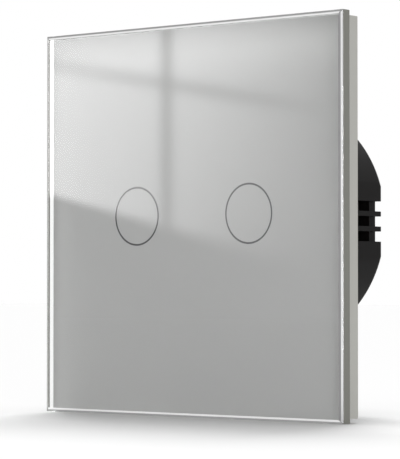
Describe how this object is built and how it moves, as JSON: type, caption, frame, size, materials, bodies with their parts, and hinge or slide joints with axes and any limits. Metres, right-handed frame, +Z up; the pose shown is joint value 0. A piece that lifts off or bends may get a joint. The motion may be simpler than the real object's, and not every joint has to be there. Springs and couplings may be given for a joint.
{
  "type": "touch light switch",
  "caption": "Square glass touch light switch with printed touch circles, grey surround frame, steel wall-box bracket and a round black rear housing with relays and screw terminals.",
  "frame": {"origin": "middle of the wall plane, on the rear face of the mounting bracket", "axes": "+Y back into the wall, +Z up, +X to the right seen from the front"},
  "size_m": [0.08, 0.0353, 0.08],
  "materials": {
    "glass": "polished, ground bevel",
    "film_grey": "satin print behind glass",
    "print_line": "printed line",
    "frame_grey": "satin moulded",
    "tape_white": "foam tape",
    "bracket_steel": "zinc plated sheet",
    "screw_steel": "zinc plated",
    "housing_black": "fine moulded texture",
    "board_green": "solder mask",
    "chip_black": "moulded resin",
    "spring_steel": "bright wire",
    "clear_plastic": "clear moulded",
    "lamp_white": "lamp resin",
    "pin_gold": "plated pins",
    "spacer_white": "nylon",
    "can_sleeve": "shrink sleeve",
    "capacitor_red": "dipped resin",
    "ferrite": "sintered ferrite",
    "copper": "enamelled wire",
    "varistor_blue": "coated disc",
    "fuse_caps": "glass tube with plated caps",
    "relay_blue": "moulded case",
    "soft_iron": "plated soft iron",
    "terminal_green": "moulded block",
    "brass": "plain brass"
  },
  "bodies": {
    "base": {"mounting_bracket": "bracket_steel", "rear_housing": "housing_black", "housing_screws": "screw_steel", "front_cover": "housing_black", "touch_board": "board_green", "touch_chip": "chip_black", "touch_spring_left": "spring_steel", "touch_spring_right": "spring_steel", "light_tube_left": "clear_plastic", "light_tube_right": "clear_plastic", "indicator_lamp_left": "lamp_white", "indicator_lamp_right": "lamp_white", "board_screws": "screw_steel", "board_spacers": "spacer_white", "header_pins": "pin_gold", "header_socket": "chip_black", "power_board": "board_green", "rectifier": "chip_black", "driver_chip": "chip_black", "bulk_capacitor": "can_sleeve", "film_capacitor": "capacitor_red", "choke_core": "ferrite", "choke_winding": "copper", "varistor": "varistor_blue", "fuse": "fuse_caps", "terminal_block": "terminal_green", "bus_bars": "brass", "relay_case_left": "relay_blue", "relay_base_left": "chip_black", "relay_coil_left": "copper", "relay_yoke_left": "soft_iron", "relay_contact_left": "copper", "relay_case_right": "relay_blue", "relay_base_right": "chip_black", "relay_coil_right": "copper", "relay_yoke_right": "soft_iron", "relay_contact_right": "copper"},
    "panel": {"glass_plate": "glass", "decor_film": "film_grey", "ring_mark_left": "print_line", "ring_mark_right": "print_line", "bond_tape": "tape_white", "surround_frame": "frame_grey", "snap_clips": "frame_grey"},
    "armature_left": {"relay_armature_left": "soft_iron"},
    "armature_right": {"relay_armature_right": "soft_iron"},
    "screw_left": {"terminal_screw_left": "screw_steel"},
    "cage_left": {"clamp_cage_left": "brass"},
    "screw_middle": {"terminal_screw_middle": "screw_steel"},
    "cage_middle": {"clamp_cage_middle": "brass"},
    "screw_right": {"terminal_screw_right": "screw_steel"},
    "cage_right": {"clamp_cage_right": "brass"}
  },
  "joints": [
    {"name": "panel_pull_off", "type": "slide", "parent": "base", "child": "panel", "axis": [0, -1, 0], "range_m": [0, 0.03], "deforming": ["snap_clips", "touch_spring_left", "touch_spring_right"]},
    {"name": "armature_tilt_left", "type": "hinge", "parent": "base", "child": "armature_left", "pos_m": [-0.0062, 0.0237, 0.0166], "axis": [-1, 0, 0], "range_deg": [0, 5], "stiffness_Nm_per_rad": 0.004, "springref_deg": -8.59},
    {"name": "armature_tilt_right", "type": "hinge", "parent": "base", "child": "armature_right", "pos_m": [0.0062, 0.0237, 0.0166], "axis": [-1, 0, 0], "range_deg": [0, 5], "stiffness_Nm_per_rad": 0.004, "springref_deg": -8.59},
    {"name": "screw_turn_left", "type": "hinge", "parent": "base", "child": "screw_left", "pos_m": [-0.00762, 0.0255, -0.0155], "axis": [0, -1, 0], "range_deg": [0, 1440.5]},
    {"name": "cage_rise_left", "type": "slide", "parent": "base", "child": "cage_left", "axis": [0, 1, 0], "range_m": [0, 0.0018]},
    {"name": "screw_turn_middle", "type": "hinge", "parent": "base", "child": "screw_middle", "pos_m": [0, 0.0255, -0.0155], "axis": [0, -1, 0], "range_deg": [0, 1440.5]},
    {"name": "cage_rise_middle", "type": "slide", "parent": "base", "child": "cage_middle", "axis": [0, 1, 0], "range_m": [0, 0.0018]},
    {"name": "screw_turn_right", "type": "hinge", "parent": "base", "child": "screw_right", "pos_m": [0.00762, 0.0255, -0.0155], "axis": [0, -1, 0], "range_deg": [0, 1440.5]},
    {"name": "cage_rise_right", "type": "slide", "parent": "base", "child": "cage_right", "axis": [0, 1, 0], "range_m": [0, 0.0018]}
  ],
  "couplings": [
    {"joint": "screw_turn_left", "follows": "cage_rise_left", "rad_per_m": 13963},
    {"joint": "screw_turn_middle", "follows": "cage_rise_middle", "rad_per_m": 13963},
    {"joint": "screw_turn_right", "follows": "cage_rise_right", "rad_per_m": 13963}
  ]
}
